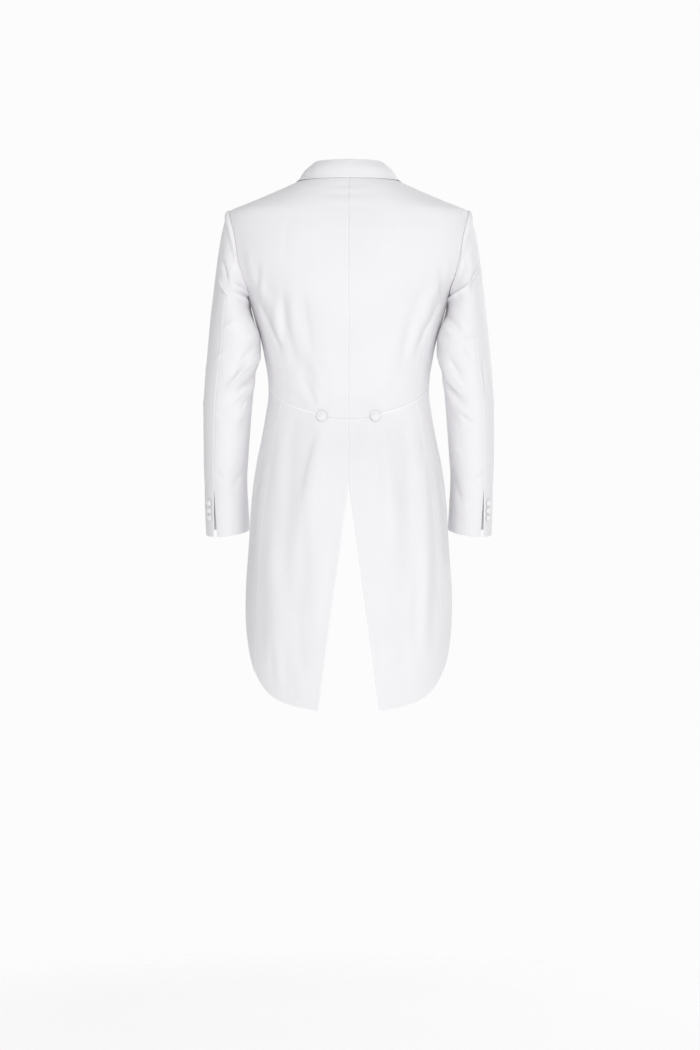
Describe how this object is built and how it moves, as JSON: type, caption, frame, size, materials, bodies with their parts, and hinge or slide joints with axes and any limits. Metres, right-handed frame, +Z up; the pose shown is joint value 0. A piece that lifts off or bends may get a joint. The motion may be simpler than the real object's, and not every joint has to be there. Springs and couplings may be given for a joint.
{
  "type": "white tie tailcoat",
  "caption": "Hollow worn-form dress tailcoat with cut-away front, peaked lapels, two long tails with a centre vent, two-piece sleeves and covered buttons.",
  "frame": {"origin": "midway between the two points where the shoulder seams meet the neck, where the coat hangs on the wearer", "axes": "+Z up, -Y towards the coat's front, +X towards the wearer's left"},
  "size_m": [0.558, 0.2599, 1.048],
  "materials": {
    "coat_cloth": "smooth white worsted with a slight satin sheen",
    "facing_cloth": "the same white cloth on collar and lapels",
    "covered_button": "white cloth stretched over a domed button"
  },
  "bodies": {
    "root": {"back_left": "coat_cloth", "back_right": "coat_cloth", "side_left": "coat_cloth", "side_right": "coat_cloth", "front_left": "coat_cloth", "front_right": "coat_cloth", "tail_back_left": "coat_cloth", "tail_back_right": "coat_cloth", "tail_side_left": "coat_cloth", "tail_side_right": "coat_cloth", "sleeve_top_left": "coat_cloth", "sleeve_top_right": "coat_cloth", "sleeve_under_left": "coat_cloth", "sleeve_under_right": "coat_cloth", "lapel_left": "facing_cloth", "lapel_right": "facing_cloth", "back_button_left": "covered_button", "back_button_right": "covered_button", "front_button_1_left": "covered_button", "front_button_1_right": "covered_button", "front_button_2_left": "covered_button", "front_button_2_right": "covered_button", "front_button_3_left": "covered_button", "front_button_3_right": "covered_button", "cuff_button_1_left": "covered_button", "cuff_button_1_right": "covered_button", "cuff_button_2_left": "covered_button", "cuff_button_2_right": "covered_button", "cuff_button_3_left": "covered_button", "cuff_button_3_right": "covered_button", "collar": "facing_cloth"}
  },
  "joints": []
}
